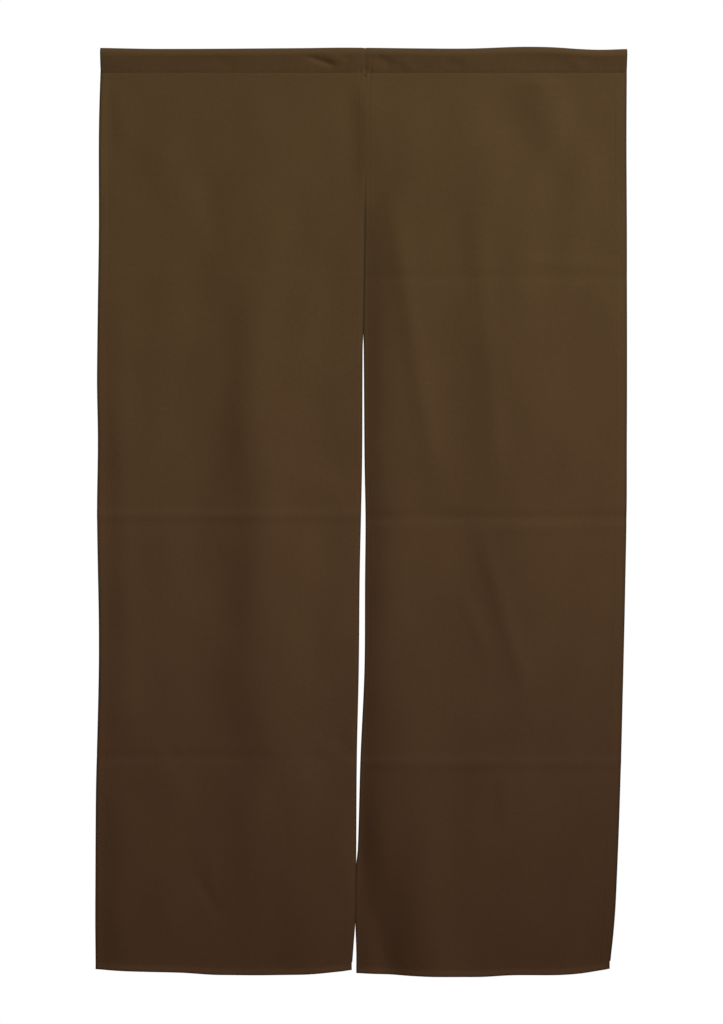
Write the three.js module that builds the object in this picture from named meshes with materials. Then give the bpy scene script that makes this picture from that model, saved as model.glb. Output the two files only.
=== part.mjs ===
// Noren curtain: a sewn heading with an empty rod channel, and two cloth panels that part at a slit.
// Millimetres, +Z up, the front faces -Y. The origin is in the middle of the rod channel.
// A drop is measured downwards from the top edge.
import * as THREE from 'three';

// Cloth and seams
const CLOTH = 1.2;
const HEM_CLOTH = 2.2;
const HEM_STEP = 0.8;
const GAP = 0.3;

// Heading: a sleeve whose round top takes the rod and whose two layers meet at a stitched seam
const ROLL_RADIUS = 10;
const HEADING_DROP = 40;
const HEADING_SEAM = 5;
const CHANNEL_FOOT = 0.4;
const HEADING_LEFT = -426.3;
const HEADING_RIGHT = 426.9;
const HEADING_STEPS = 40;
const ROLL_FACETS = 10;

// Panels: hems turned to the back, and the stretch where the two are sewn together
const OUTER_HEM = 20;
const SLIT_HEM = 12;
const FOOT_HEM = 12;
const FOOT_HEM_FLIP = 1.6;
const SEWN_DROP = 229;
const SETTLING = 150;
const PARTING = 100;
const FULL_DROP = 1500;
const PLAIN_COLUMNS = 20;
const ROW_SPACING = 42;

// Height of the top edge above its mean line, along the width
const TOP_EDGE = [
  { x: -427, rise: 0.9 },
  { x: -330, rise: -0.7 },
  { x: -103, rise: 0.5 },
  { x: -30, rise: 1.3 },
  { x: 92, rise: 0.1 },
  { x: 172, rise: -0.1 },
  { x: 254, rise: 2.6 },
  { x: 305, rise: 2 },
  { x: 350, rise: -0.9 },
  { x: 384, rise: -2.1 },
  { x: 427, rise: -0.9 },
];

// Slack places in the heading's two layers: how far each is pressed in or swells out
const HEADING_SLACK = [
  { x: -405, half: 22, out: 0.9 },
  { x: -250, half: 70, out: -0.5 },
  { x: -72, half: 24, out: -0.8 },
  { x: -22, half: 20, out: 1.1 },
  { x: 30, half: 26, out: -0.7 },
  { x: 190, half: 60, out: 0.8 },
  { x: 356, half: 34, out: -0.6 },
];

// Outer edge of each panel at each drop
const OUTER_EDGES = [
  { drop: 40, left: -426.6, right: 427 },
  { drop: 130, left: -428.8, right: 426.8 },
  { drop: 300, left: -429.2, right: 427.6 },
  { drop: 530, left: -432.2, right: 427.8 },
  { drop: 640, left: -430.9, right: 427.5 },
  { drop: 757, left: -432.2, right: 427.1 },
  { drop: 984, left: -429.3, right: 422.5 },
  { drop: 1211, left: -434.2, right: 416.6 },
  { drop: 1382, left: -435.6, right: 410 },
  { drop: 1438, left: -435.8, right: 406.1 },
  { drop: 1500, left: -435.3, right: 399.5 },
];

// Slit edge of each panel. They part at 470 and meet again near the foot, the right one behind.
const SLIT_EDGES = [
  { drop: 40, left: 2.05, right: 2.35 },
  { drop: 229, left: 2.45, right: 2.75 },
  { drop: 440, left: -0.15, right: 0.15 },
  { drop: 462, left: -0.5, right: -0.05 },
  { drop: 490, left: -1.3, right: 0.3 },
  { drop: 668, left: -2.1, right: 1.6 },
  { drop: 765, left: -4, right: 3.2 },
  { drop: 862, left: -6.1, right: 2.4 },
  { drop: 1009, left: -7.5, right: 1.4 },
  { drop: 1152, left: -10.6, right: -5 },
  { drop: 1300, left: -11.6, right: -9.3 },
  { drop: 1326, left: -11.8, right: -12 },
  { drop: 1412, left: -12.7, right: -13.4 },
  { drop: 1463, left: -16.2, right: -11.8 },
  { drop: 1500, left: -19, right: -11.8 },
];

// Foot of each panel: the hem's lower edge across the width
const FOOT_LEFT = [
  { x: -435, drop: 1494.3 },
  { x: -395, drop: 1496.3 },
  { x: -298, drop: 1498.6 },
  { x: -233, drop: 1502 },
  { x: -100, drop: 1500.3 },
  { x: -38, drop: 1495 },
  { x: -20, drop: 1492.5 },
];
const FOOT_RIGHT = [
  { x: -12, drop: 1498.9 },
  { x: 59, drop: 1500.6 },
  { x: 124, drop: 1501.8 },
  { x: 189, drop: 1503.2 },
  { x: 240, drop: 1501.1 },
  { x: 310, drop: 1502 },
  { x: 351, drop: 1500.1 },
  { x: 384, drop: 1495.5 },
  { x: 400, drop: 1492.5 },
];

// Folds that run down the cloth. Each crest passes through x at the top, middle and foot of its run.
// There it stands out forward, or back where the number is negative, and half is its half width.
const SHARED_FOLDS = [
  { from: 40, to: 1500, xTop: -426, xMid: -432, xFoot: -436, outTop: 1, outMid: -1.4, outFoot: -4.5, half: 28 },
  { from: 150, to: 1500, xTop: -222, xMid: -262, xFoot: -240, outTop: -1, outMid: -2.2, outFoot: -0.4, half: 54 },
  { from: 150, to: 1500, xTop: -170, xMid: -150, xFoot: -90, outTop: 2, outMid: 5, outFoot: 6, half: 62 },
  { from: 40, to: 750, xTop: 80, xMid: 90, xFoot: 100, outTop: 7, outMid: 5, outFoot: 0, half: 85 },
  { from: 450, to: 1500, xTop: -175, xMid: -176, xFoot: -184, outTop: 0.4, outMid: 3.8, outFoot: 3, half: 40 },
  { from: 200, to: 1500, xTop: 58, xMid: 56, xFoot: 110, outTop: 1, outMid: 2, outFoot: 7.5, half: 45 },
  { from: 1200, to: 1500, xTop: -12, xMid: 8, xFoot: 42, outTop: 0, outMid: -3.8, outFoot: -4.5, half: 24 },
  { from: 850, to: 1500, xTop: 110, xMid: 105, xFoot: 110, outTop: 0, outMid: 3.5, outFoot: 11, half: 150 },
  { from: 1100, to: 1500, xTop: -436, xMid: -436, xFoot: -436, outTop: 0, outMid: -1, outFoot: -4.5, half: 60 },
  { from: 200, to: 1200, xTop: 115, xMid: 165, xFoot: 210, outTop: -1, outMid: -1.8, outFoot: 0, half: 42 },
  { from: 60, to: 1500, xTop: 180, xMid: 240, xFoot: 205, outTop: 7, outMid: 5, outFoot: 3, half: 90 },
  { from: 40, to: 1500, xTop: 430, xMid: 428, xFoot: 402, outTop: -4, outMid: -3.5, outFoot: -4, half: 60 },
];

// Below the sewn stretch each slit edge turns its own way
const LEFT_SLIT_TURN = [
  { from: 229, to: 1500, xTop: 4, xMid: -6, xFoot: -20, outTop: 0, outMid: 0.4, outFoot: 1.6, half: 40 },
];
const RIGHT_SLIT_TURN = [
  { from: 229, to: 1500, xTop: -3, xMid: -6, xFoot: -16, outTop: -5, outMid: -7.5, outFoot: -6, half: 25 },
];

// Creases across the cloth where it was once folded up
const CREASES = [
  { drop: 370, left: 0.3, right: -1.0, half: 11 },
  { drop: 759, left: 1.6, right: -1.6, half: 9 },
  { drop: 1154, left: -1.3, right: 1.4, half: 9 },
];

const brownCloth = new THREE.MeshStandardMaterial({ color: 0x4b3924, roughness: 0.95, metalness: 0 });

// Reads one column of a table as a smooth curve through its rows
function curve(rows, key, value) {
  const last = rows.length - 1;
  const slope = (i) => {
    const before = rows[Math.max(i - 1, 0)];
    const after = rows[Math.min(i + 1, last)];
    return (after[value] - before[value]) / (after[key] - before[key]);
  };
  return (at) => {
    const place = THREE.MathUtils.clamp(at, rows[0][key], rows[last][key]);
    const next = Math.max(rows.findIndex((row) => row[key] >= place), 1);
    const a = rows[next - 1];
    const b = rows[next];
    const span = b[key] - a[key];
    const t = (place - a[key]) / span;
    const rising = a[value] * (1 + 2 * t) * (1 - t) ** 2 + b[value] * t * t * (3 - 2 * t);
    return rising + span * t * (1 - t) * (slope(next - 1) * (1 - t) - slope(next) * t);
  };
}

// The parabola through three values that are read at the top, middle and foot of a run
function bend(top, mid, foot, t) {
  return top + (4 * mid - 3 * top - foot) * t + 2 * (top - 2 * mid + foot) * t * t;
}

function swell(distance, half) {
  return Math.exp(-((distance / half) ** 2));
}

function foldsOut(folds, x, drop) {
  return folds.reduce((sum, fold) => {
    const t = THREE.MathUtils.clamp((drop - fold.from) / (fold.to - fold.from), 0, 1);
    const crest = bend(fold.xTop, fold.xMid, fold.xFoot, t);
    return sum + bend(fold.outTop, fold.outMid, fold.outFoot, t) * swell(x - crest, fold.half);
  }, 0);
}

// How far the front of the cloth stands forward of the heading's seam line
function clothOut(side, x, drop, foot) {
  const freed = THREE.MathUtils.smoothstep(drop, HEADING_DROP, HEADING_DROP + SETTLING);
  const parted = THREE.MathUtils.smoothstep(drop, SEWN_DROP, SEWN_DROP + PARTING);
  const creases = CREASES.reduce((sum, crease) => (
    sum + crease[side.name] * swell(drop - crease.drop, crease.half)
  ), 0);
  const flip = FOOT_HEM_FLIP * THREE.MathUtils.smoothstep(drop, foot - 2 * FOOT_HEM, foot);
  return freed * foldsOut(SHARED_FOLDS, x, drop) + parted * foldsOut(side.slitTurn, x, drop) + creases + flip;
}

// Drops of the rows down a panel, close together at each crease, ending above the foot hem
function rowDrops() {
  const plainFoot = FULL_DROP - FOOT_HEM - HEM_STEP;
  const steps = [-1.6, -0.8, 0, 0.8, 1.6];
  const atCreases = CREASES.flatMap((crease) => steps.map((step) => crease.drop + step * crease.half));
  const keys = [HEADING_DROP + GAP, ...atCreases, plainFoot];
  return keys.slice(1).reduce((drops, key, i) => {
    const count = Math.ceil((key - keys[i]) / ROW_SPACING);
    const filled = Array.from({ length: count }, (_, n) => THREE.MathUtils.lerp(keys[i], key, (n + 1) / count));
    return [...drops, ...filled];
  }, [keys[0]]);
}

// Places of the columns across a panel, with a pair at each side hem
function columnPlaces(left, right, leftHem, rightHem) {
  const start = left + leftHem + HEM_STEP;
  const end = right - rightHem - HEM_STEP;
  const plain = Array.from({ length: PLAIN_COLUMNS + 1 }, (_, n) => (
    THREE.MathUtils.lerp(start, end, n / PLAIN_COLUMNS)
  ));
  return [left, left + leftHem, ...plain, right - rightHem, right];
}

// A sheet of cloth: a box of many cells, each corner of which is moved to its place on the hung cloth
function panel(side) {
  const drops = rowDrops();
  const rows = drops.length + 1;
  const columns = PLAIN_COLUMNS + 4;
  const outerEdge = curve(OUTER_EDGES, 'drop', side.name);
  const slitEdge = curve(SLIT_EDGES, 'drop', side.name);
  const [leftEdge, rightEdge] = side.name === 'left' ? [outerEdge, slitEdge] : [slitEdge, outerEdge];
  const footEdge = curve(side.foot, 'x', 'drop');
  const geometry = new THREE.BoxGeometry(1, 1, 1, columns, 1, rows);
  const corners = geometry.attributes.position;
  const plainLength = drops[drops.length - 1] - drops[0];

  for (let i = 0; i < corners.count; i += 1) {
    const column = Math.round((corners.getX(i) + 0.5) * columns);
    const row = Math.round((0.5 - corners.getZ(i)) * rows);
    const isBack = corners.getY(i) > 0;

    const level = drops[row] ?? FULL_DROP;
    const places = columnPlaces(leftEdge(level), rightEdge(level), side.leftHem, side.rightHem);
    const x = places[column];
    const foot = footEdge(x);
    const plainFoot = foot - FOOT_HEM - HEM_STEP;
    const hemDrop = row === rows ? foot : foot - FOOT_HEM;
    const plainDrop = drops[0] + (level - drops[0]) * (plainFoot - drops[0]) / plainLength;
    const drop = row < drops.length ? plainDrop : hemDrop;

    const inSideHem = column < 2 || column > columns - 2;
    const inFootHem = row >= drops.length;
    const thickness = inSideHem || inFootHem ? HEM_CLOTH : CLOTH;
    const front = -clothOut(side, x, drop, foot) - CLOTH / 2;
    corners.setXYZ(i, x, isBack ? front + thickness : front, ROLL_RADIUS - drop);
  }
  return cloth(side.node, geometry);
}

// Outline of the sleeve: round over the rod, with straight sides that close in to a narrow foot
function teardrop(path, radius, footHalf, footDepth) {
  const reach = Math.hypot(footHalf, footDepth);
  const touch = Math.acos(radius / reach) - Math.atan2(footDepth, footHalf);
  path.moveTo(-footHalf, -footDepth);
  path.lineTo(footHalf, -footDepth);
  path.absarc(0, 0, radius, touch, Math.PI - touch, false);
  return path;
}

// The heading runs along X with both ends open, and its layers are as slack as cloth on a slim rod
function heading() {
  const seamDepth = HEADING_DROP - ROLL_RADIUS;
  const outside = teardrop(new THREE.Shape(), ROLL_RADIUS, CLOTH, seamDepth);
  const inside = teardrop(new THREE.Path(), ROLL_RADIUS - CLOTH, CHANNEL_FOOT, seamDepth - HEADING_SEAM);
  outside.holes.push(inside);
  const geometry = new THREE.ExtrudeGeometry(outside, {
    depth: HEADING_RIGHT - HEADING_LEFT,
    steps: HEADING_STEPS,
    curveSegments: ROLL_FACETS,
    bevelEnabled: false,
  });
  const alongX = new THREE.Matrix4().makeBasis(
    new THREE.Vector3(0, 1, 0),
    new THREE.Vector3(0, 0, 1),
    new THREE.Vector3(1, 0, 0),
  );
  geometry.applyMatrix4(alongX.setPosition(HEADING_LEFT, 0, 0));

  const topEdge = curve(TOP_EDGE, 'x', 'rise');
  const corners = geometry.attributes.position;
  for (let i = 0; i < corners.count; i += 1) {
    const x = corners.getX(i);
    const y = corners.getY(i);
    const z = corners.getZ(i);
    const lifted = THREE.MathUtils.smoothstep(z, -seamDepth, 0);
    const side = THREE.MathUtils.clamp(y / (ROLL_RADIUS - CLOTH), -1, 1);
    const loose = Math.sin(Math.PI * THREE.MathUtils.clamp((z + seamDepth) / seamDepth, 0, 1));
    const slack = HEADING_SLACK.reduce((sum, place) => sum + place.out * swell(x - place.x, place.half), 0);
    corners.setXYZ(i, x, y + side * loose * slack, z + lifted * topEdge(x));
  }
  return cloth('heading', geometry);
}

function cloth(name, geometry) {
  geometry.computeVertexNormals();
  const mesh = new THREE.Mesh(geometry, brownCloth);
  mesh.name = name;
  return mesh;
}

const LEFT = {
  name: 'left',
  node: 'panel_left',
  leftHem: OUTER_HEM,
  rightHem: SLIT_HEM,
  foot: FOOT_LEFT,
  slitTurn: LEFT_SLIT_TURN,
};

const RIGHT = {
  name: 'right',
  node: 'panel_right',
  leftHem: SLIT_HEM,
  rightHem: OUTER_HEM,
  foot: FOOT_RIGHT,
  slitTurn: RIGHT_SLIT_TURN,
};

const curtain = new THREE.Group();
curtain.add(heading(), panel(LEFT), panel(RIGHT));

export default curtain;
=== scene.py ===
# %% [markdown]
# # A noren curtain in plain brown cloth
# The real curtain is two strips of plain weave. Their tops are turned over and sewn down as a channel
# for a rod. A seam joins the strips for about 20 cm below it. From there they hang side by side, and
# further down they part. The curtain has been stored folded in four, so three creases cross each strip,
# and soft folds run down it.
#
# The CAD frame already holds its three solids: the heading and a panel on each side of the slit.
# This script makes a finer cloth for each of them, from the same sizes, and sews and lights it.

import math

import bpy
import numpy as np
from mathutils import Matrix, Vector


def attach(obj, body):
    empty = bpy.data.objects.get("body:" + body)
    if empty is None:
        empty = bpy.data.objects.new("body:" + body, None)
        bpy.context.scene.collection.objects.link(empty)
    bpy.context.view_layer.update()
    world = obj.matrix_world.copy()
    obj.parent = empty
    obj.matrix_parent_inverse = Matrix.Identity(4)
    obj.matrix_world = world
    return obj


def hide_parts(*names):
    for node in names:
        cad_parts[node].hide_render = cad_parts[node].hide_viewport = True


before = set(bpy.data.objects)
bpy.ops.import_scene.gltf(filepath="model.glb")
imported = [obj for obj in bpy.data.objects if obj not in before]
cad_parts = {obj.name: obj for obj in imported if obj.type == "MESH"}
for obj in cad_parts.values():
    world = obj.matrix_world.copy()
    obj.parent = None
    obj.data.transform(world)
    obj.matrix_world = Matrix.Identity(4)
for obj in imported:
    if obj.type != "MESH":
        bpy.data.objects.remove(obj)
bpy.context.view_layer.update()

# %% [markdown]
# ## The camera
# The photograph looks straight at the curtain from half its height, and the top and foot come out
# equally wide, so the lens was long. The curtain's height in the photograph sets the distance.

# %% Place the camera
PHOTO_WIDTH_PX = 723
PHOTO_HEIGHT_PX = 1024
TOP_EDGE_PX = 48.5
FOOT_PX = 973.5
MIDDLE_PX = 363.5
FULL_DROP = 1.5
ROLL_RADIUS = 0.010
LENS_MM = 85
SENSOR_MM = 36

metres_per_px = FULL_DROP / (FOOT_PX - TOP_EDGE_PX)
view_height = PHOTO_HEIGHT_PX * metres_per_px
camera_distance = view_height * LENS_MM / SENSOR_MM

camera_data = bpy.data.cameras.new("camera")
camera_data.lens = LENS_MM
camera_data.sensor_width = SENSOR_MM
camera = bpy.data.objects.new("camera", camera_data)
camera.location = (
    (PHOTO_WIDTH_PX / 2 - MIDDLE_PX) * metres_per_px,
    -camera_distance,
    ROLL_RADIUS - (PHOTO_HEIGHT_PX / 2 - TOP_EDGE_PX) * metres_per_px,
)
camera.rotation_euler = (math.radians(90), 0, 0)
bpy.context.scene.collection.objects.link(camera)
bpy.context.scene.camera = camera
print("camera distance, metres:", round(camera_distance, 3))

# %% [markdown]
# ## Sizes and tables
# A drop is measured downwards from the top edge. The tables hold what a tape measure and a straight
# edge would give: where the edges of each panel hang, how low its foot comes, and which way each
# fold runs. A few rows are enough, because a smooth curve is drawn through them.

# %% Sizes of the cloth and its seams
CLOTH = 0.0010
HEM_CLOTH = 0.0019
HEM_STEP = 0.0008
EDGE_ROUND = 0.0007
HEADING_DROP = 0.040
HEADING_SEAM = 0.005
CHANNEL_FOOT = 0.0004
HEADING_FOOT_FRONT = 0.0006
HEADING_FOOT_BACK = 0.0015
HEADING_LEFT = -0.4263
HEADING_RIGHT = 0.4269
OUTER_HEM = 0.020
SLIT_HEM = 0.012
FOOT_HEM = 0.012
FOOT_HEM_FLIP = 0.0016
SEWN_DROP = 0.229
CLOSED_DROP = 0.465
SEAM_LAP = 0.0002
SEAM_LAP_FADE = 0.050
SEAM_LAP_PAST = 0.020
SEAM_END = 0.040
TUCK = 0.0015


def table(columns, rows):
    """A table with named columns, as one array for each column."""
    return dict(zip(columns.split(), np.array(rows, float).T))


# %% Tables of the outline
TOP_EDGE = table("x rise", [
    (-0.427, 0.0009),
    (-0.330, -0.0007),
    (-0.103, 0.0005),
    (-0.030, 0.0013),
    (0.092, 0.0001),
    (0.172, -0.0001),
    (0.254, 0.0026),
    (0.305, 0.0020),
    (0.350, -0.0009),
    (0.384, -0.0021),
    (0.427, -0.0009),
])

OUTER_EDGES = table("drop left right", [
    (0.040, -0.4266, 0.4270),
    (0.130, -0.4288, 0.4268),
    (0.300, -0.4292, 0.4276),
    (0.530, -0.4322, 0.4278),
    (0.640, -0.4309, 0.4275),
    (0.757, -0.4322, 0.4271),
    (0.984, -0.4293, 0.4225),
    (1.211, -0.4342, 0.4166),
    (1.382, -0.4356, 0.4100),
    (1.438, -0.4358, 0.4061),
    (1.500, -0.4353, 0.3995),
])
SLIT_EDGES = table("drop left right", [
    (0.040, 0.0022, 0.0022),
    (0.229, 0.0026, 0.0026),
    (0.440, 0.0, 0.0),
    (0.462, -0.0003, -0.0003),
    (0.490, -0.0013, 0.0003),
    (0.668, -0.0021, 0.0016),
    (0.765, -0.0040, 0.0032),
    (0.862, -0.0061, 0.0024),
    (1.009, -0.0075, 0.0014),
    (1.152, -0.0106, -0.0050),
    (1.300, -0.0116, -0.0093),
    (1.326, -0.0118, -0.0120),
    (1.412, -0.0127, -0.0134),
    (1.463, -0.0162, -0.0118),
    (1.500, -0.0190, -0.0118),
])

FOOT_LEFT = table("x drop", [
    (-0.435, 1.4943),
    (-0.395, 1.4963),
    (-0.298, 1.4986),
    (-0.233, 1.5020),
    (-0.100, 1.5003),
    (-0.038, 1.4950),
    (-0.020, 1.4925),
])
FOOT_RIGHT = table("x drop", [
    (-0.012, 1.4989),
    (0.059, 1.5006),
    (0.124, 1.5018),
    (0.189, 1.5032),
    (0.240, 1.5011),
    (0.310, 1.5020),
    (0.351, 1.5001),
    (0.384, 1.4955),
    (0.400, 1.4925),
])

# %% Tables of the folds
# Each crest passes through x at the top, middle and foot of its run, and stands out by "out" there.
# "half" is how far from the crest a fold has mostly died away.
FOLD_COLUMNS = "start end x_top x_mid x_foot out_top out_mid out_foot half"
SHARED_FOLDS = table(FOLD_COLUMNS, [
    (0.040, 1.500, -0.426, -0.432, -0.436, 0.0010, -0.0014, -0.0045, 0.028),
    (0.150, 1.500, -0.222, -0.262, -0.240, -0.0010, -0.0022, -0.0004, 0.054),
    (0.150, 1.500, -0.170, -0.150, -0.090, 0.0020, 0.0050, 0.0060, 0.062),
    (0.040, 0.750, 0.080, 0.090, 0.100, 0.0070, 0.0050, 0.0, 0.085),
    (0.450, 1.500, -0.175, -0.176, -0.184, 0.0004, 0.0038, 0.0030, 0.040),
    (0.200, 1.500, 0.058, 0.056, 0.110, 0.0010, 0.0020, 0.0075, 0.045),
    (1.200, 1.500, -0.012, 0.008, 0.042, 0.0, -0.0038, -0.0045, 0.024),
    (0.850, 1.500, 0.110, 0.105, 0.110, 0.0, 0.0035, 0.0110, 0.150),
    (1.100, 1.500, -0.436, -0.436, -0.436, 0.0, -0.0010, -0.0045, 0.060),
    (0.200, 1.200, 0.115, 0.165, 0.210, -0.0010, -0.0018, 0.0, 0.042),
    (0.060, 1.500, 0.180, 0.240, 0.205, 0.0070, 0.0050, 0.0030, 0.090),
    (0.040, 1.500, 0.430, 0.428, 0.402, -0.0040, -0.0035, -0.0040, 0.060),
])
LEFT_SLIT_TURN = table(FOLD_COLUMNS, [
    (0.229, 1.500, 0.004, -0.006, -0.020, 0.0, 0.0004, 0.0016, 0.040),
])
RIGHT_SLIT_TURN = table(FOLD_COLUMNS, [
    (0.229, 1.500, -0.003, -0.006, -0.016, -0.0050, -0.0075, -0.0060, 0.025),
])
# Creases across the panels, from the days when the curtain lay folded up. A nought leaves that panel out.
CREASES = table("drop left right half", [
    (0.371, 0.0003, -0.0010, 0.0100),
    (0.757, 0.0016, 0.0, 0.0078),
    (0.761, 0.0, -0.0016, 0.0090),
    (1.149, -0.0013, 0.0, 0.0085),
    (1.158, 0.0, 0.0014, 0.0085),
])

# Short soft troughs and ridges, from one point to another. They run on past both ends by a share of
# their length and reach their full depth at another.
WRINKLE_PAST = 0.15
WRINKLE_FULL = 0.3
WRINKLES = table("x1 drop1 x2 drop2 half out", [
    (-0.273, 1.340, -0.233, 1.405, 0.010, -0.0012),
    (-0.252, 1.325, -0.240, 1.335, 0.009, 0.0012),
    (-0.316, 1.125, -0.300, 1.170, 0.012, -0.0008),
    (-0.045, 1.110, -0.022, 1.150, 0.014, -0.0012),
    (-0.160, 1.150, -0.105, 1.143, 0.009, 0.0012),
    (-0.070, 1.146, -0.016, 1.150, 0.009, 0.0010),
    (-0.165, 0.670, -0.015, 0.735, 0.030, 0.0014),
    (0.000, 0.060, 0.004, 0.250, 0.016, 0.0018),
    (0.030, 0.215, 0.014, 0.070, 0.018, 0.0012),
    (0.042, 0.230, 0.114, 0.680, 0.019, 0.0024),
    (0.181, 0.245, 0.218, 0.700, 0.018, 0.0013),
    (-0.196, 0.330, -0.186, 0.700, 0.028, 0.0018),
    (-0.400, 0.420, -0.380, 1.120, 0.020, 0.0015),
    (-0.429, 0.020, -0.431, 0.260, 0.012, 0.0018),
    (-0.022, 0.060, -0.004, 0.240, 0.024, -0.0018),
    (0.275, -0.030, 0.310, 0.170, 0.042, 0.0034),
    (0.245, 0.345, 0.400, 0.350, 0.010, 0.0010),
    (0.200, 0.780, 0.420, 0.770, 0.010, 0.0009),
    (0.188, 0.775, 0.262, 1.040, 0.016, 0.0019),
    (0.160, 0.880, 0.200, 0.985, 0.012, 0.0008),
    (0.060, 0.740, 0.170, 0.765, 0.014, -0.0008),
    (0.075, 1.170, 0.230, 1.150, 0.012, 0.0010),
    (0.228, 1.170, 0.230, 1.270, 0.013, 0.0009),
    (-0.400, 0.060, -0.385, 0.160, 0.016, 0.0009),
    (-0.260, 0.200, -0.235, 0.330, 0.018, -0.0009),
    (0.275, 0.060, 0.330, 0.180, 0.030, 0.0012),
    (0.345, 0.120, 0.300, 0.240, 0.026, -0.0010),
    (-0.345, 1.380, -0.285, 1.470, 0.024, 0.0009),
    (0.020, 1.300, 0.060, 1.460, 0.022, -0.0012),
])
print("folds:", len(SHARED_FOLDS["half"]), "wrinkles:", len(WRINKLES["half"]))

# %% [markdown]
# ## From tables to a surface
# The cloth could be draped by a simulation, but that gives folds of its own. Here the aim is the
# set of folds in the photograph, so the depth of the cloth is worked out at every point as a sum of
# smooth bumps, one for each row of a table. numpy does that for the whole sheet at once.


# %% Helpers that read the tables
def curve(rows, key, value, at):
    """A smooth curve through a table's rows: column value at the places at of column key."""
    places = rows[key]
    values = rows[value]
    index = np.arange(len(places))
    before = np.maximum(index - 1, 0)
    after = np.minimum(index + 1, len(places) - 1)
    slopes = (values[after] - values[before]) / (places[after] - places[before])
    at = np.clip(at, places[0], places[-1])
    i = np.clip(np.searchsorted(places, at), 1, len(places) - 1) - 1
    span = places[i + 1] - places[i]
    t = (at - places[i]) / span
    level = values[i] * (1 + 2 * t) * (1 - t) ** 2 + values[i + 1] * t * t * (3 - 2 * t)
    return level + span * t * (1 - t) * (slopes[i] * (1 - t) - slopes[i + 1] * t)


def smoothstep(value, low, high):
    t = np.clip((value - low) / (high - low), 0, 1)
    return t * t * (3 - 2 * t)


def bend(top, mid, foot, t):
    """The parabola through three values, read at the top, middle and foot of a run."""
    return top + (4 * mid - 3 * top - foot) * t + 2 * (top - 2 * mid + foot) * t * t


def swell(distance, half):
    return np.exp(-((distance / half) ** 2))


def rows_of(rows):
    """The rows of a table, each as a dictionary."""
    return [dict(zip(rows, values)) for values in zip(*rows.values())]


def folds_out(folds, x, drop):
    total = np.zeros_like(x)
    for fold in rows_of(folds):
        t = np.clip((drop - fold["start"]) / (fold["end"] - fold["start"]), 0, 1)
        crest = bend(fold["x_top"], fold["x_mid"], fold["x_foot"], t)
        total += bend(fold["out_top"], fold["out_mid"], fold["out_foot"], t) * swell(x - crest, fold["half"])
    return total


def wrinkles_out(wrinkles, x, drop):
    """Bumps along short lines, each fading out at both ends."""
    total = np.zeros_like(x)
    for line in rows_of(wrinkles):
        along_x = line["x2"] - line["x1"]
        along_drop = line["drop2"] - line["drop1"]
        length = math.hypot(along_x, along_drop)
        t = ((x - line["x1"]) * along_x + (drop - line["drop1"]) * along_drop) / length ** 2
        nearest = np.clip(t, 0, 1)
        away = np.hypot(x - line["x1"] - nearest * along_x, drop - line["drop1"] - nearest * along_drop)
        fade = smoothstep(t, -WRINKLE_PAST, WRINKLE_FULL)
        fade *= 1 - smoothstep(t, 1 - WRINKLE_FULL, 1 + WRINKLE_PAST)
        total += line["out"] * swell(away, line["half"]) * fade
    return total


# %% Faint unevenness over the whole cloth
# A few long waves at odd angles, from a fixed seed: what is left in cloth after it has been folded.
RIPPLE_COUNT = 26
RIPPLE_SHORTEST = 0.055
RIPPLE_LONGEST = 0.210
RIPPLE_DEPTH = 0.00010
RIPPLE_LEAN = 0.55
RIPPLE_SEED = 20
ripple_source = np.random.default_rng(RIPPLE_SEED)
RIPPLES = table("angle length phase", np.column_stack([
    ripple_source.normal(0, RIPPLE_LEAN, RIPPLE_COUNT),
    ripple_source.uniform(RIPPLE_SHORTEST, RIPPLE_LONGEST, RIPPLE_COUNT),
    ripple_source.uniform(0, 2 * math.pi, RIPPLE_COUNT),
]))


def ripples_out(x, drop):
    total = np.zeros_like(x)
    for wave in rows_of(RIPPLES):
        run = x * math.cos(wave["angle"]) + drop * math.sin(wave["angle"])
        total += RIPPLE_DEPTH * np.sin(2 * math.pi * run / wave["length"] + wave["phase"])
    return total


# %% Gathers beside the centre seam
PUCKERS = {"x": 0.003, "half": 0.013, "reach": 0.012, "length": 0.0085, "depth": 0.0010, "lean": 60}


def puckers_out(x, drop):
    """Small gathers where the centre seam runs into the heading and the cloth is four layers thick."""
    from_seam = swell(x - PUCKERS["x"], PUCKERS["half"]) * swell(drop - HEADING_DROP, PUCKERS["reach"])
    wave = np.sin(2 * math.pi * x / PUCKERS["length"] + PUCKERS["lean"] * drop)
    return PUCKERS["depth"] * wave * from_seam


# %% The two sides
# Below the heading and below the sewn stretch, the cloth takes up its folds over these lengths.
SETTLING = 0.150
PARTING = 0.100
WRINKLE_SETTLING = 0.020
RIPPLE_SETTLING = 0.100
SIDES = {
    "left": {
        "node": "panel_left",
        "hems": (OUTER_HEM, SLIT_HEM),
        "foot": FOOT_LEFT,
        "slit_turn": LEFT_SLIT_TURN,
    },
    "right": {
        "node": "panel_right",
        "hems": (SLIT_HEM, OUTER_HEM),
        "foot": FOOT_RIGHT,
        "slit_turn": RIGHT_SLIT_TURN,
    },
}


def side_edges(name, drop):
    """Where a panel's left and right edges hang. Down to the slit's first gap the two panels touch."""
    lap = SEAM_LAP * (1 - smoothstep(drop, CLOSED_DROP - SEAM_LAP_FADE, CLOSED_DROP + SEAM_LAP_PAST))
    outer = curve(OUTER_EDGES, "drop", name, drop)
    slit = curve(SLIT_EDGES, "drop", name, drop)
    return (outer, slit + lap) if name == "left" else (slit - lap, outer)


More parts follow.
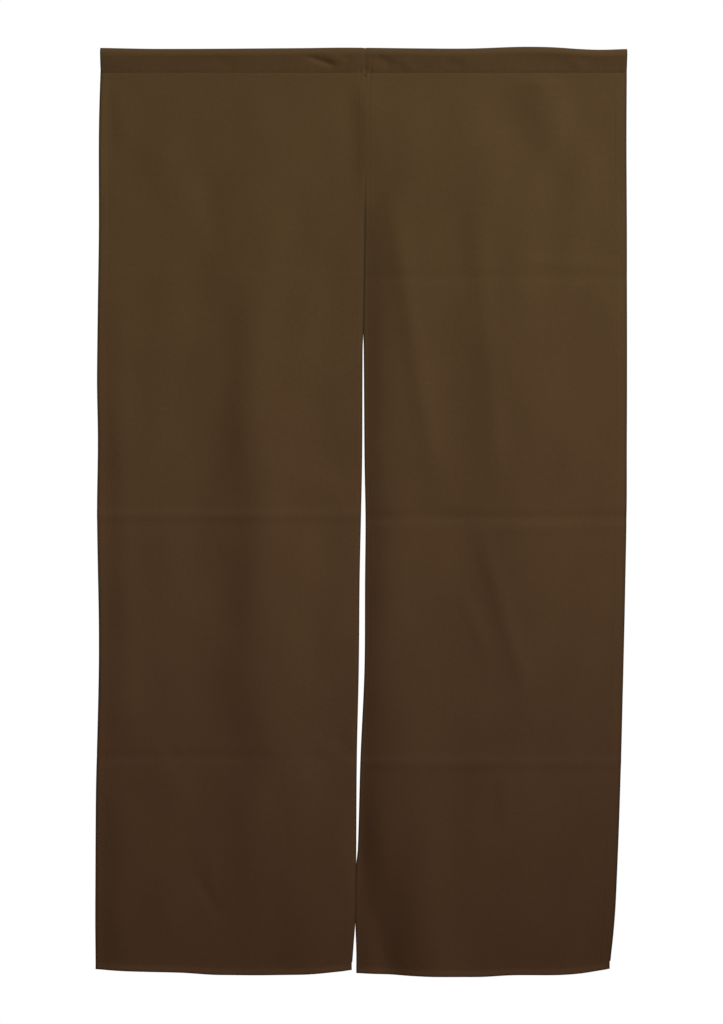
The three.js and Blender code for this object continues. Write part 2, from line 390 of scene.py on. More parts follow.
def cloth_out(name, x, drop):
    """How far the front of the cloth stands forward of the heading's seam line."""
    side = SIDES[name]
    freed = smoothstep(drop, HEADING_DROP, HEADING_DROP + SETTLING)
    parted = smoothstep(drop, SEWN_DROP, SEWN_DROP + PARTING)
    foot = curve(side["foot"], "x", "drop", x)
    out = freed * folds_out(SHARED_FOLDS, x, drop) + parted * folds_out(side["slit_turn"], x, drop)
    for crease in rows_of(CREASES):
        out += crease[name] * swell(drop - crease["drop"], crease["half"])
    out += smoothstep(drop, HEADING_DROP, HEADING_DROP + WRINKLE_SETTLING) * wrinkles_out(WRINKLES, x, drop)
    out += smoothstep(drop, HEADING_DROP, HEADING_DROP + RIPPLE_SETTLING) * ripples_out(x, drop)
    out += puckers_out(x, drop)
    return out + FOOT_HEM_FLIP * smoothstep(drop, foot - 2 * FOOT_HEM, foot)


# %% [markdown]
# ## From a surface to a closed mesh
# Cloth has two faces and a folded edge all round. A plain grid with a Solidify modifier would give
# every edge the same thickness, but a hem is turned to the back and stitched, so it is twice as
# thick. The front and the back are therefore two grids, and the last row at each edge is drawn in.


# %% Close two grids into one mesh
def closed_mesh(name, front, back, lengths, wraps=False):
    """A closed mesh from two grids of points, and a UV map in metres of cloth from lengths.

    Rows run down and columns run to the right on a grid whose front faces the camera. Where wraps
    is true, the last column goes on into the first, as on a sleeve.
    """
    rows, columns = front.shape[:2]
    numbers = np.arange(rows * columns).reshape(rows, columns)
    behind = numbers + rows * columns
    if wraps:
        numbers = np.hstack([numbers, numbers[:, :1]])
        behind = np.hstack([behind, behind[:, :1]])

    def quads(a, b, c, d):
        return np.stack([a, b, c, d], axis=-1).reshape(-1, 4)

    faces = [
        quads(numbers[:-1, :-1], numbers[1:, :-1], numbers[1:, 1:], numbers[:-1, 1:]),
        quads(behind[:-1, :-1], behind[:-1, 1:], behind[1:, 1:], behind[1:, :-1]),
        quads(numbers[0, :-1], numbers[0, 1:], behind[0, 1:], behind[0, :-1]),
        quads(numbers[-1, :-1], behind[-1, :-1], behind[-1, 1:], numbers[-1, 1:]),
    ]
    if not wraps:
        faces.append(quads(numbers[:-1, 0], behind[:-1, 0], behind[1:, 0], numbers[1:, 0]))
        faces.append(quads(numbers[:-1, -1], numbers[1:, -1], behind[1:, -1], behind[:-1, -1]))

    mesh = bpy.data.meshes.new(name)
    points = np.concatenate([front.reshape(-1, 3), back.reshape(-1, 3)])
    mesh.from_pydata(points.tolist(), [], np.concatenate(faces).tolist())
    mesh.polygons.foreach_set("use_smooth", np.ones(len(mesh.polygons), bool))
    corner_points = np.zeros(len(mesh.loops), int)
    mesh.loops.foreach_get("vertex_index", corner_points)
    both = np.concatenate([lengths.reshape(-1, 2)] * 2)
    uv_map = mesh.uv_layers.new(name="cloth_lengths")
    uv_map.data.foreach_set("uv", both[corner_points].astype(np.float32).ravel())
    piece = bpy.data.objects.new(name, mesh)
    bpy.context.scene.collection.objects.link(piece)
    return piece


def add_number(piece, name, values):
    """Stores one number for each point of a piece, for its material to read."""
    attribute = piece.data.attributes.new(name, "FLOAT", "POINT")
    attribute.data.foreach_set("value", np.tile(values.ravel(), 2).astype(np.float32))


# %% [markdown]
# ## The panels
# Each panel is a strip with a narrow hem down the slit, a wider one down its outer edge and one along
# its foot. Its top is sewn between the two layers of the heading, so it is tucked in a little there.

# %% Make the panels
CELL = 0.0045
HEM_CELLS = 4
EDGE_DRAW = 0.12
SIDE_HEM_WEAR = 0.15
SEWN_ROUND = 0.00005
# Painted shade along the cloth's edges: how strongly the last two columns of points are darkened, and where
# beside the seam it begins.
PAINTED_EDGE_SHADE = (1.0, 0.8)
PAINTED_EDGE_SHADE_START = SEWN_DROP - 0.020
PAINTED_EDGE_SHADE_FULL = SEWN_DROP + 0.040


def hem_steps(width):
    """Distances from a folded edge to the inside of its hem."""
    return np.concatenate([[0, EDGE_ROUND], np.linspace(0, width, HEM_CELLS + 1)[1:]])


def panel_grid(name):
    """Places of the panel's points, and the cloth's thickness at each."""
    side = SIDES[name]
    left_hem, right_hem = side["hems"]
    start, end = side_edges(name, SEWN_DROP)
    plain_count = int((end - start) / CELL)
    row_count = int(FULL_DROP / CELL)
    hem_rows = len(hem_steps(FOOT_HEM))

    top = HEADING_DROP - TUCK
    levels = np.linspace(top, FULL_DROP - FOOT_HEM - HEM_STEP, row_count)
    levels = np.concatenate([levels, np.full(hem_rows, FULL_DROP)])
    left, right = [edge[:, None] for edge in side_edges(name, levels)]
    start = left + left_hem + HEM_STEP
    end = right - right_hem - HEM_STEP
    share = np.linspace(0, 1, plain_count)
    x = np.hstack([
        left + hem_steps(left_hem),
        start + (end - start) * share,
        right - hem_steps(right_hem)[::-1],
    ])

    seam_column, towards = (-2, 1) if name == "left" else (1, -1)
    sewn = 1 - smoothstep(levels, SEWN_DROP - SEAM_END, SEWN_DROP)
    x[:, seam_column] += towards * sewn * (EDGE_ROUND - SEWN_ROUND)

    foot = curve(side["foot"], "x", "drop", x)
    plain_foot = foot[:row_count] - FOOT_HEM - HEM_STEP
    plain_share = np.linspace(0, 1, row_count)[:, None]
    drop = np.vstack([
        top + (plain_foot - top) * plain_share,
        foot[row_count:] - hem_steps(FOOT_HEM)[::-1, None],
    ])

    thickness = np.full(x.shape, CLOTH)
    side_hem = len(hem_steps(left_hem))
    thickness[:, :side_hem] = HEM_CLOTH
    thickness[:, -side_hem:] = HEM_CLOTH
    thickness[row_count:] = HEM_CLOTH
    return x, drop, thickness


def make_panel(name):
    x, drop, thickness = panel_grid(name)
    front = -cloth_out(name, x, drop) - CLOTH / 2
    back = front + thickness
    drawn_in = np.zeros(x.shape)
    drawn_in[:, [0, -1]] = EDGE_DRAW
    drawn_in[-1] = EDGE_DRAW
    sewn_edge = -1 if name == "left" else 0
    drawn_in[:, sewn_edge] *= smoothstep(drop[:, sewn_edge], SEWN_DROP - SEAM_END, SEWN_DROP)
    # Painted shade along the panel's edges and foot; beside the sewn seam it only begins below the seam.
    painted_shade = np.zeros(x.shape)
    painted_shade[:, [0, 1]] = PAINTED_EDGE_SHADE
    painted_shade[:, [-1, -2]] = PAINTED_EDGE_SHADE
    beside_seam = painted_shade[:, :2] if name == "right" else painted_shade[:, -2:]
    beside_seam *= smoothstep(drop[:, [sewn_edge]], PAINTED_EDGE_SHADE_START, PAINTED_EDGE_SHADE_FULL)
    painted_shade[-2:] = np.maximum(painted_shade[-2:], np.array(PAINTED_EDGE_SHADE)[::-1, None])
    height = ROLL_RADIUS - drop
    piece = closed_mesh(
        "cloth_" + SIDES[name]["node"],
        np.stack([x, front + drawn_in * thickness, height], axis=-1),
        np.stack([x, back - drawn_in * thickness, height], axis=-1),
        np.stack([x, -drop], axis=-1),
    )
    worn = np.where(thickness > CLOTH, SIDE_HEM_WEAR, 0)
    worn[1 - len(hem_steps(FOOT_HEM)):] = 1
    add_number(piece, "hem", worn)
    add_number(piece, "edge", painted_shade)
    print(piece.name, "faces:", len(piece.data.polygons))
    return piece


panels = {name: make_panel(name) for name in SIDES}

# %% [markdown]
# ## The heading
# The top of the cloth is turned over to the back and sewn down 40 mm lower. Empty, the channel keeps
# the round of the rod at its top, and its two layers close in to the seam like a drop. The seam joining
# the strips runs up through it, and the machine has drawn the cloth into small puckers at the stitches.

# %% Make the heading
SIDE_POINTS = 16
CROWN_POINTS = 18
STATION = 0.003
HEADING_SLACK = table("x half out", [
    (-0.405, 0.022, 0.0009),
    (-0.250, 0.070, -0.0005),
    (-0.072, 0.024, -0.0008),
    (-0.022, 0.020, 0.0011),
    (0.030, 0.026, -0.0007),
    (0.150, 0.050, 0.0008),
    (0.300, 0.075, -0.0011),
    (0.375, 0.030, -0.0006),
])
HEADING_WRINKLES = table("x1 drop1 x2 drop2 half out", [
    (-0.094, 0.013, -0.046, 0.029, 0.0045, -0.0022),
    (-0.060, 0.016, -0.030, 0.020, 0.006, 0.0008),
    (-0.040, 0.014, -0.018, 0.018, 0.007, -0.0010),
    (-0.013, 0.036, 0.014, 0.038, 0.005, -0.0016),
    (0.016, 0.010, 0.048, 0.030, 0.008, -0.0012),
    (0.060, 0.020, 0.085, 0.038, 0.008, 0.0007),
    (0.128, 0.018, 0.160, 0.030, 0.009, -0.0007),
    (0.330, 0.016, 0.360, 0.034, 0.010, 0.0008),
    (-0.245, 0.014, -0.205, 0.032, 0.010, -0.0007),
])
SEAM_DEPTH = HEADING_DROP - ROLL_RADIUS
SEAM_X = 0.0024
SEAM_GROOVE = 0.0007
SEAM_GROOVE_HALF = 0.0022
SEAM_GROOVE_END = 0.004
PUCKER_LENGTH = 0.0170
PUCKER_DEPTH = 0.00014
PUCKER_START = 0.003
PUCKER_REACH = 0.009
PUCKER_WANDER = 3
PUCKER_WANDER_LENGTH = 0.021
FRONT_BLEND = 0.001
FOOT_FOLD = 0.0003
END_DRAW = 0.3


def touch_angle(radius, foot_half, foot_depth):
    """Where a straight side that rises from the foot meets the round top."""
    return math.acos(radius / math.hypot(foot_half, foot_depth)) - math.atan2(foot_depth, foot_half)


def teardrop(radius, foot_front, foot_back, foot_depth):
    """A section of the sleeve: up the front, over the crown and down the back."""
    start = math.pi - touch_angle(radius, foot_front, foot_depth)
    angles = np.linspace(start, touch_angle(radius, foot_back, foot_depth), CROWN_POINTS)
    crown = np.column_stack([radius * np.cos(angles), radius * np.sin(angles)])
    share = np.linspace(0, 1, SIDE_POINTS, endpoint=False)[:, None]
    share = np.insert(share, 1, FOOT_FOLD / foot_depth, axis=0)
    front = np.array([-foot_front, -foot_depth]) * (1 - share) + crown[0] * share
    back = np.array([foot_back, -foot_depth]) * (1 - share) + crown[-1] * share
    return np.vstack([front, crown, back[::-1]])


def sleeve(section, x):
    """The section carried along x, with the top edge's rise, slack places, wrinkles and puckers."""
    y = np.repeat(section[None, :, 0], len(x), axis=0)
    z = np.repeat(section[None, :, 1], len(x), axis=0)
    x = np.repeat(x[:, None], len(section), axis=1)
    drop = ROLL_RADIUS - z
    facing = np.clip(y / (ROLL_RADIUS - CLOTH), -1, 1)
    above_seam = z + SEAM_DEPTH
    loose = np.sin(math.pi * np.clip(above_seam / SEAM_DEPTH, 0, 1))
    slack = sum(place["out"] * swell(x - place["x"], place["half"]) for place in rows_of(HEADING_SLACK))
    near_foot = swell(above_seam, PUCKER_REACH) * smoothstep(above_seam, 0, PUCKER_START)
    pull = np.sin(2 * math.pi * x / PUCKER_LENGTH + PUCKER_WANDER * np.sin(x / PUCKER_WANDER_LENGTH))
    groove = SEAM_GROOVE * swell(x - SEAM_X, SEAM_GROOVE_HALF)
    in_front = smoothstep(-y, 0, FRONT_BLEND)
    outwards = groove / np.hypot(y, np.maximum(z, 0))
    y_new = y * (1 - outwards * (1 - swell(above_seam, SEAM_GROOVE_END))) + facing * loose * slack
    y_new -= in_front * loose * wrinkles_out(HEADING_WRINKLES, x, drop)
    y_new += np.sign(y) * near_foot * PUCKER_DEPTH * pull - puckers_out(x, drop)
    z_new = z - np.maximum(z, 0) * outwards
    z_new += smoothstep(z, -SEAM_DEPTH, 0) * curve(TOP_EDGE, "x", "rise", x)
    return np.stack([x, y_new, z_new], axis=-1)


def make_heading():
    outside = teardrop(ROLL_RADIUS, HEADING_FOOT_FRONT, HEADING_FOOT_BACK, SEAM_DEPTH)
    inside = teardrop(ROLL_RADIUS - CLOTH, CHANNEL_FOOT, CHANNEL_FOOT, SEAM_DEPTH - HEADING_SEAM)
    x = np.linspace(HEADING_LEFT, HEADING_RIGHT, round((HEADING_RIGHT - HEADING_LEFT) / STATION))
    x = np.concatenate([[x[0]], [x[0] + EDGE_ROUND], x[1:-1], [x[-1] - EDGE_ROUND], [x[-1]]])
    steps = np.linalg.norm(np.diff(outside, axis=0), axis=1)
    around = np.concatenate([[0], np.cumsum(steps)])
    lengths = np.stack(np.meshgrid(x, around, indexing="ij"), axis=-1)
    outer = sleeve(outside, x)
    inner = sleeve(inside, x)
    middle = (outer + inner) / 2
    for end in (0, -1):
        outer[end] += END_DRAW * (middle[end] - outer[end])
        inner[end] += END_DRAW * (middle[end] - inner[end])
    piece = closed_mesh("cloth_heading", outer, inner, lengths, wraps=True)
    # Painted shade at both ends of the heading.
    painted_shade = np.zeros(outer.shape[:2])
    painted_shade[[0, 1]] = np.array(PAINTED_EDGE_SHADE)[:, None]
    painted_shade[[-1, -2]] = np.array(PAINTED_EDGE_SHADE)[:, None]
    add_number(piece, "hem", np.zeros(outer.shape[:2]))
    add_number(piece, "edge", painted_shade)
    print(piece.name, "faces:", len(piece.data.polygons))
    return piece


heading = make_heading()

# %% [markdown]
# ## The stitching
# A sewing machine leaves a row of short stitches on both faces of the cloth. Modelling them one by one
# would be slow, and an array can't follow a curved hem. Geometry Nodes can: they walk along a line,
# set down a point at each stitch, and put a small rounded thread there, turned along the line.

# %% Build the node tree that sews a line
STITCH_PITCH = 0.0030
STITCH_LENGTH = 0.0025
THREAD_RADIUS = 0.00026
STITCH_UNEVENNESS = 0.12
STITCH_SEED = 5


def stitch_tree():
    tree = bpy.data.node_groups.new("machine_stitches", "GeometryNodeTree")
    tree.interface.new_socket(name="Geometry", in_out="INPUT", socket_type="NodeSocketGeometry")
    for name in ("Pitch", "Length", "Thread radius", "Unevenness"):
        tree.interface.new_socket(name=name, in_out="INPUT", socket_type="NodeSocketFloat")
    tree.interface.new_socket(name="Seed", in_out="INPUT", socket_type="NodeSocketInt")
    tree.interface.new_socket(name="Thread", in_out="INPUT", socket_type="NodeSocketMaterial")
    tree.interface.new_socket(name="Geometry", in_out="OUTPUT", socket_type="NodeSocketGeometry")

    def feed(socket, value):
        if isinstance(value, bpy.types.NodeSocket):
            tree.links.new(value, socket)
        else:
            socket.default_value = value

    def node(kind, settings=(), **values):
        made = tree.nodes.new(kind)
        for name, value in dict(settings).items():
            setattr(made, name, value)
        for name, value in values.items():
            feed(made.inputs[name.replace("_", " ")], value)
        return made

    def number(operation, first, second):
        made = node("ShaderNodeMath", {"operation": operation})
        feed(made.inputs[0], first)
        feed(made.inputs[1], second)
        return made.outputs[0]

    sizes = tree.nodes.new("NodeGroupInput").outputs
    line = node("GeometryNodeMeshToCurve", Mesh=sizes["Geometry"])
    by_length = {"mode": "LENGTH"}
    walked = node("GeometryNodeResampleCurve", by_length, Curve=line.outputs[0], Length=sizes["Pitch"])
    along = node("GeometryNodeInputTangent")
    turned = node("FunctionNodeAlignRotationToVector", {"axis": "X"}, Vector=along.outputs[0])
    bead = node("GeometryNodeMeshUVSphere", Segments=6, Rings=4, Radius=1)
    rounded = node("GeometryNodeSetShadeSmooth", Geometry=bead.outputs["Mesh"])
    radius = sizes["Thread radius"]
    size = node("ShaderNodeCombineXYZ", X=number("MULTIPLY", sizes["Length"], 0.5), Y=radius, Z=radius)
    uneven = node("FunctionNodeRandomValue", {"data_type": "FLOAT"}, Seed=sizes["Seed"])
    feed(uneven.inputs[2], number("SUBTRACT", 1.0, sizes["Unevenness"]))
    feed(uneven.inputs[3], 1.0)
    varied = node("ShaderNodeVectorMath", {"operation": "SCALE"}, Scale=uneven.outputs[1])
    feed(varied.inputs[0], size.outputs[0])
    sewn = node(
        "GeometryNodeInstanceOnPoints",
        Points=walked.outputs[0],
        Instance=rounded.outputs[0],
        Rotation=turned.outputs[0],
        Scale=varied.outputs[0],
    )
    real = node("GeometryNodeRealizeInstances", Geometry=sewn.outputs[0])
    coloured = node("GeometryNodeSetMaterial", Geometry=real.outputs[0], Material=sizes["Thread"])
    finished = tree.nodes.new("NodeGroupOutput")
    tree.links.new(coloured.outputs[0], finished.inputs[0])
    return tree


stitches = stitch_tree()


# %% Sew along lines
def line_mesh(name, lines):
    """An object of bare edges, one run for each array of points."""
    points = np.concatenate(lines)
    starts = np.cumsum([0] + [len(line) for line in lines])
    edges = [
        (i, i + 1)
        for start, end in zip(starts[:-1], starts[1:])
        for i in range(start, end - 1)
    ]
    mesh = bpy.data.meshes.new(name)
    mesh.from_pydata(points.tolist(), edges, [])
    piece = bpy.data.objects.new(name, mesh)
    bpy.context.scene.collection.objects.link(piece)
    return piece


def sew(name, lines, thread, pitch=STITCH_PITCH, length=STITCH_LENGTH, radius=THREAD_RADIUS):
    """Stitches along lines, as one plain mesh."""
    piece = line_mesh(name, lines)
    modifier = piece.modifiers.new("stitches", "NODES")
    modifier.node_group = stitches
    values = {
        "Pitch": pitch,
        "Length": length,
        "Thread radius": radius,
        "Unevenness": STITCH_UNEVENNESS,
        "Seed": STITCH_SEED,
        "Thread": thread,
    }
    for socket in stitches.interface.items_tree:
        if socket.in_out == "INPUT" and socket.name in values:
            modifier[socket.identifier] = values[socket.name]
    bpy.context.view_layer.update()
    evaluated = piece.evaluated_get(bpy.context.evaluated_depsgraph_get())
    sewn = bpy.data.meshes.new_from_object(evaluated)
    piece.modifiers.clear()
    piece.data = sewn
    print(name, "faces:", len(sewn.polygons))
    return piece


# %% [markdown]
# ## The finishes
# The cloth is a matt plain weave. Under a lens its warp and weft cross in a small chequer, some threads
# are thicker than others, and the dye has taken a little unevenly. All of that is worked out from the
# cloth's own lengths, so the threads run true over the folds and round the channel. The colour turns
# from olive at the top to a redder brown at the foot, and an attribute darkens the cloth's edges with
# painted shade. Another lightens the folded hems, where cloth is rubbed.
#
# Shader maths reads best as a formula. The small class below wraps a socket, so that a sum or a
# product written in Python adds the Math node for it.


# %% Formulas for shaders
class Wire:
    """A number in a material. Arithmetic on it adds Math nodes."""

    def __init__(self, tree, socket):
        self.tree = tree
        self.socket = socket

    def math(self, operation, *values):
        node = self.tree.nodes.new("ShaderNodeMath")
        node.operation = operation
        for socket, value in zip(node.inputs, values):
            connect(self.tree, socket, value)
        return Wire(self.tree, node.outputs[0])

    def __add__(self, other):
        return self.math("ADD", self, other)

    def __sub__(self, other):
        return self.math("SUBTRACT", self, other)

    def __rsub__(self, other):
        return self.math("SUBTRACT", other, self)

    def __mul__(self, other):
        return self.math("MULTIPLY", self, other)

    __radd__ = __add__
    __rmul__ = __mul__

    def sine(self):
        return self.math("SINE", self)

    def clamped(self):
        return self.math("MAXIMUM", self.math("MINIMUM", self, 1.0), 0.0)


def connect(tree, socket, value):
    """Sets a socket to a number or colour, or links a wire to it."""
    if isinstance(value, Wire):
        tree.links.new(value.socket, socket)
    else:
        socket.default_value = value


class Finish:
    """A material, with one method that adds any node to it."""

    def __init__(self, name):
        self.material = bpy.data.materials.new(name)
        self.material.use_nodes = True
        self.tree = self.material.node_tree
        self.shader = self.tree.nodes["Principled BSDF"]

    def node(self, kind, output=0, settings=(), **values):
        made = self.tree.nodes.new(kind)
        for name, value in dict(settings).items():
            setattr(made, name, value)
        for name, value in values.items():
            connect(self.tree, made.inputs[name.replace("_", " ")], value)
        return Wire(self.tree, made.outputs[output])

    def set(self, **values):
        for name, value in values.items():
            connect(self.tree, self.shader.inputs[name.replace("_", " ")], value)

    def mix(self, share, first, second, blend="MIX"):
        """A colour between two others. The colour sockets of a Mix node share their names."""
        made = self.tree.nodes.new("ShaderNodeMix")
        made.data_type = "RGBA"
        made.blend_type = blend
        connect(self.tree, made.inputs[0], share)
        connect(self.tree, made.inputs[6], first)
        connect(self.tree, made.inputs[7], second)
        return Wire(self.tree, made.outputs[2])

    def noise(self, vector, scale, detail=2.0, roughness=0.5):
        values = {"Vector": vector, "Scale": scale, "Detail": detail, "Roughness": roughness}
        return self.node("ShaderNodeTexNoise", **values)

    def stretched(self, vector, across, down):
        return self.node("ShaderNodeMapping", Vector=vector, Scale=(across, down, 1.0))


# %% The cloth
WARP_PITCH = 0.00055
WEFT_PITCH = 0.00060
THREADS_A_METRE = 800
THREAD_WANDER = 0.0012
PATCHES_A_METRE = {
    "wander": 60.0,
    "slubs": 14.0,
    "dye": 7.0,
    "flecks": 150.0,
    "fibres": 2400.0,
    "rubs": 45.0,
}
SLUB_TONE = 0.5
WEAVE_TONE = 0.12
DYE_TONE = 0.5
FLECK_TONE = 0.7
FIBRE_TONE = 0.16
TONE_START = 0.49
WEAVE_RELIEF = 0.00022
CLOTH_DARK = (0.0740, 0.0397, 0.0160, 1.0)
CLOTH_LIGHT = (0.1025, 0.0564, 0.0237, 1.0)
CLOTH_WORN = (0.1250, 0.0720, 0.0310, 1.0)
# The colour of the painted shade along the cloth's edges.
PAINTED_EDGE_SHADOW = (0.0400, 0.0230, 0.0095, 1.0)
# The colour turns from olive at the top to a redder brown at the foot: these two tints multiply it, blended
# by the drop.
TINT_AT_TOP = (1.0, 1.045, 0.955, 1.0)
TINT_AT_FOOT = (1.0, 0.91, 1.03, 1.0)
DRIFT_START = 0.297
DRIFT_LENGTH = 0.847


def brown_cloth():
    finish = Finish("brown_plain_weave")
    lengths = finish.node("ShaderNodeUVMap", settings={"uv_map": "cloth_lengths"})
    axes = finish.tree.nodes.new("ShaderNodeSeparateXYZ")
    finish.tree.links.new(lengths.socket, axes.inputs[0])
    across = Wire(finish.tree, axes.outputs[0])
    down = Wire(finish.tree, axes.outputs[1])

    patches = PATCHES_A_METRE
    wander = (finish.noise(lengths, patches["wander"]) - 0.5) * THREAD_WANDER
    warp = ((across + wander) * (math.pi / WARP_PITCH)).sine()
    weft = ((down + wander) * (math.pi / WEFT_PITCH)).sine()
    weave = warp * weft * 0.5 + 0.5

    along_warp = finish.stretched(lengths, THREADS_A_METRE, patches["slubs"])
    along_weft = finish.stretched(lengths, patches["slubs"], THREADS_A_METRE)
    slubs = finish.noise(along_warp, 1.0, detail=1.0) * 0.5 + finish.noise(along_weft, 1.0, detail=1.0) * 0.5
    dye = finish.noise(lengths, patches["dye"], detail=3.0)
    flecks = finish.noise(lengths, patches["flecks"], detail=3.0, roughness=0.6)
    fibres = finish.noise(lengths, patches["fibres"], detail=2.0, roughness=0.7)

    hem = finish.node("ShaderNodeAttribute", output=2, settings={"attribute_name": "hem"})
    threads = slubs * SLUB_TONE + weave * WEAVE_TONE + fibres * FIBRE_TONE
    tone = (threads + dye * DYE_TONE + flecks * FLECK_TONE - TONE_START).clamped()
    colour = finish.mix(tone, CLOTH_DARK, CLOTH_LIGHT)
    rubbed = (hem * (finish.noise(lengths, patches["rubs"], detail=4.0) * 0.5 + 0.35)).clamped()
    colour = finish.mix(rubbed, colour, CLOTH_WORN)
    # Painted shade: the edge attribute darkens the cloth towards its painted edge-shadow colour.
    edge = finish.node("ShaderNodeAttribute", output=2, settings={"attribute_name": "edge"})
    colour = finish.mix(edge, colour, PAINTED_EDGE_SHADOW)
    # Towards the foot the colour turns redder, from one tint to the other.
    lower = ((down * -1.0 - DRIFT_START) * (1 / DRIFT_LENGTH)).clamped()
    colour = finish.mix(1.0, colour, finish.mix(lower, TINT_AT_TOP, TINT_AT_FOOT), "MULTIPLY")

    height = weave * 0.40 + slubs * 0.6 + fibres * 0.2
    normal = finish.node("ShaderNodeBump", Height=height, Distance=WEAVE_RELIEF, Strength=0.7)
    finish.set(
        Base_Color=colour,
        Roughness=(0.97 - weave * 0.10),
        Normal=normal,
        Specular_IOR_Level=0.25,
        Sheen_Weight=0.12,
        Sheen_Roughness=0.55,
        Sheen_Tint=(0.62, 0.50, 0.36, 1.0),
    )
    return finish.material


# %% The thread
THREAD_DARK = (0.070, 0.041, 0.019, 1.0)
THREAD_LIGHT = (0.120, 0.073, 0.036, 1.0)
TWISTS_A_METRE = 1500.0
TWIST_RELIEF = 0.00008


def brown_thread():
    finish = Finish("brown_thread")
    place = finish.node("ShaderNodeTexCoord", output=3)
    twist = finish.noise(finish.stretched(place, TWISTS_A_METRE, TWISTS_A_METRE), 1.0, detail=1.0)
    normal = finish.node("ShaderNodeBump", Height=twist, Distance=TWIST_RELIEF, Strength=0.5)
    finish.set(
        Base_Color=finish.mix(twist, THREAD_DARK, THREAD_LIGHT),
        Roughness=(0.75 - twist * 0.15),
        Normal=normal,
        Specular_IOR_Level=0.35,
    )
    return finish.material


cloth_finish = brown_cloth()
thread_finish = brown_thread()
for piece in (heading, *panels.values()):
    piece.data.materials.append(cloth_finish)
print("materials:", [material.name for material in (cloth_finish, thread_finish)])

# %% [markdown]
# ## Where the stitches go
# Each hem has one row near its inner fold, on both faces. The centre seam is sewn from behind, and its
# row isn't made here. A bar of close stitches locks each of its ends: on the front below the heading,
# and on the back where the seam stops and would otherwise tear. The heading's own row holds its two
# layers together.

# %% Lines for the machine
HEM_MARGIN = 0.0025
FACE_OFFSET = 0.00012
LINE_STEP = 0.006
LINE_END = 0.002
BELOW_HEADING = 0.001
HEADING_ROW_DROP = 0.0368
BAR_PITCH = 0.0006
BAR_LENGTH = 0.0040
BAR_COUNT = 8
BAR_RADIUS = 0.00016
BAR_STITCH_SHARE = 0.62
BAR_ABOVE_SLIT = 0.004


def on_cloth(name, x, drop, face, thickness):
    """Points on the front or back face of a panel."""
    x, drop = np.broadcast_arrays(np.asarray(x, float), np.asarray(drop, float))
    front = -cloth_out(name, x, drop) - CLOTH / 2
    y = front - FACE_OFFSET if face == "front" else front + thickness + FACE_OFFSET
    return np.stack([x, y, ROLL_RADIUS - drop], axis=-1)


def evenly(start, end):
    return np.linspace(start, end, max(2, round(abs(end - start) / LINE_STEP)))


def panel_lines(name):
    """The rows along a panel's foot and side hems."""
    side = SIDES[name]
    left_hem, right_hem = side["hems"]
    lines = []
    for face in ("front", "back"):
        drop = evenly(HEADING_DROP + BELOW_HEADING, FULL_DROP - FOOT_HEM)
        left, right = side_edges(name, drop)
        lines.append(on_cloth(name, left + left_hem - HEM_MARGIN, drop, face, HEM_CLOTH))
        lines.append(on_cloth(name, right - right_hem + HEM_MARGIN, drop, face, HEM_CLOTH))
        foot_left, foot_right = side_edges(name, np.full(1, FULL_DROP))
        x = evenly(foot_left[0] + LINE_END, foot_right[0] - LINE_END)
        foot = curve(side["foot"], "x", "drop", x)
        lines.append(on_cloth(name, x, foot - FOOT_HEM + HEM_MARGIN, face, HEM_CLOTH))
    return lines


def bar_lines(drop, face, thickness):
    """Close stitches across the centre seam, one below another."""
    x = np.tile([SEAM_X - BAR_LENGTH / 2, SEAM_X + BAR_LENGTH / 2], BAR_COUNT)
    drops = np.repeat(drop + BAR_PITCH * np.arange(BAR_COUNT), 2)
    ends = on_cloth("left", x, drops, face, thickness)
    return [ends[i : i + 2] for i in range(0, len(ends), 2)]


def heading_lines():
    """The row above the heading's foot, on its front and back."""
    x = evenly(HEADING_LEFT + LINE_END, HEADING_RIGHT - LINE_END)
    section = teardrop(ROLL_RADIUS, HEADING_FOOT_FRONT, HEADING_FOOT_BACK, SEAM_DEPTH)
    level = ROLL_RADIUS - HEADING_ROW_DROP
    rows = []
    for foot, above, away in ((section[0], section[1], -1), (section[-1], section[-2], 1)):
        share = (level - foot[1]) / (above[1] - foot[1])
        place = foot[0] + (above[0] - foot[0]) * share + away * FACE_OFFSET
        rows.append(sleeve(np.array([[place, level]]), x)[:, 0])
    return rows


# %% Sew the pieces
sewing = {
    name: sew("stitches_" + side["node"], panel_lines(name), thread_finish)
    for name, side in SIDES.items()
}
sewing["heading"] = sew("stitches_heading", heading_lines(), thread_finish)
bar_under_heading = bar_lines(HEADING_DROP + BELOW_HEADING, "front", CLOTH)
bar_above_slit = bar_lines(SEWN_DROP - BAR_ABOVE_SLIT, "back", HEM_CLOTH)
bars = sew(
    "seam_bars",
    bar_under_heading + bar_above_slit,
    thread_finish,
    pitch=BAR_LENGTH / 2,
    length=BAR_LENGTH * BAR_STITCH_SHARE,
    radius=BAR_RADIUS,
)

# %% [markdown]
# ## The studio
# The curtain hangs in front of plain white, so the world itself is white where the camera sees it.
# A round lamp stands well to the right, and the middle of its soft beam passes over the top edge. The
# cloth therefore darkens towards its foot, and each fold has a light and a dark side. A weaker lamp
# behind shows the back of the hems and doesn't reach the front. The pale floor is far enough below
# to stay out of the main view.

# %% Floor and light
FLOOR_Z = -1.95
FLOOR_RADIUS = 1.7
FLOOR_EDGES = 96
FLOOR_PAINT = (0.80, 0.79, 0.77, 1.0)
LAMP_RADIUS = 0.6
LAMPS = {
    "key": {"place": (7.2, -6.1, 3.5), "aim": (0.60, 0.0, 0.30), "watts": 4500.0, "beam": 25},
    "back": {"place": (-4.5, 5.5, -0.7), "aim": (0.0, 0.0, -0.75), "watts": 1100.0, "beam": 34},
}
LAMP_COLOUR = (1.0, 0.975, 0.86)
ROOM_LIGHT = 0.16
ROOM_COLOUR = (1.0, 0.82, 0.74)


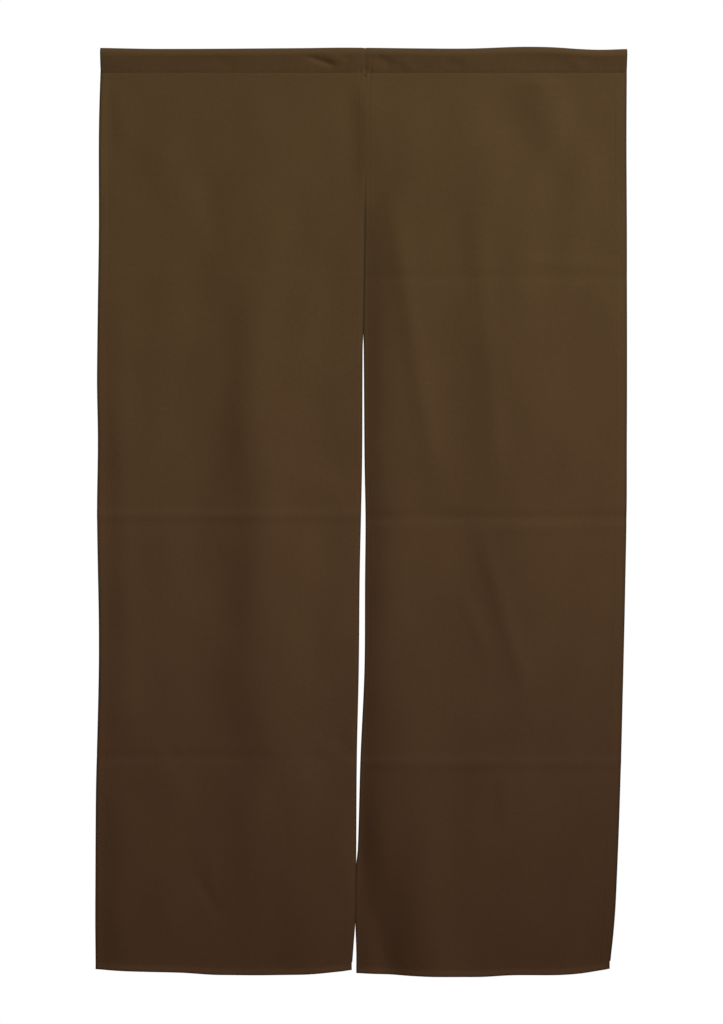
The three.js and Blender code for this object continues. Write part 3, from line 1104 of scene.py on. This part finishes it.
def make_floor():
    angles = np.linspace(0, 2 * math.pi, FLOOR_EDGES, endpoint=False)
    points = [(FLOOR_RADIUS * math.cos(a), FLOOR_RADIUS * math.sin(a), FLOOR_Z) for a in angles]
    mesh = bpy.data.meshes.new("floor")
    mesh.from_pydata(points, [], [list(range(FLOOR_EDGES))])
    floor = bpy.data.objects.new("floor", mesh)
    bpy.context.scene.collection.objects.link(floor)
    finish = Finish("pale_floor")
    finish.set(Base_Color=FLOOR_PAINT, Roughness=0.9)
    floor.data.materials.append(finish.material)
    return floor


def make_lamp(name, place, aim, watts, beam):
    light = bpy.data.lights.new(name, "SPOT")
    light.energy = watts
    light.color = LAMP_COLOUR
    light.shadow_soft_size = LAMP_RADIUS
    light.spot_size = math.radians(beam)
    light.spot_blend = 1.0
    lamp = bpy.data.objects.new(name, light)
    lamp.location = place
    lamp.rotation_euler = (Vector(aim) - Vector(place)).to_track_quat("-Z", "Y").to_euler()
    bpy.context.scene.collection.objects.link(lamp)


def light_room():
    world = bpy.data.worlds.new("room")
    world.use_nodes = True
    tree = world.node_tree
    seen = tree.nodes.new("ShaderNodeLightPath")
    white = tree.nodes["Background"]
    white.inputs[0].default_value = (1.0, 1.0, 1.0, 1.0)
    soft = tree.nodes.new("ShaderNodeBackground")
    soft.inputs[0].default_value = (*ROOM_COLOUR, 1.0)
    soft.inputs[1].default_value = ROOM_LIGHT
    either = tree.nodes.new("ShaderNodeMixShader")
    tree.links.new(seen.outputs["Is Camera Ray"], either.inputs[0])
    tree.links.new(soft.outputs[0], either.inputs[1])
    tree.links.new(white.outputs[0], either.inputs[2])
    tree.links.new(either.outputs[0], tree.nodes["World Output"].inputs[0])
    bpy.context.scene.world = world
    bpy.context.scene.view_settings.view_transform = "Standard"


make_floor()
for name, lamp in LAMPS.items():
    make_lamp(name, **lamp)
light_room()

# %% [markdown]
# ## Hand the pieces over
# Every piece rides on the one body of the frame. The cloth pieces stand in for the plain solids, which
# are hidden.

for piece in (heading, bars, *panels.values(), *sewing.values()):
    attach(piece, "root")
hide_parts("heading")
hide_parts("panel_left")
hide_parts("panel_right")

bpy.context.view_layer.update()
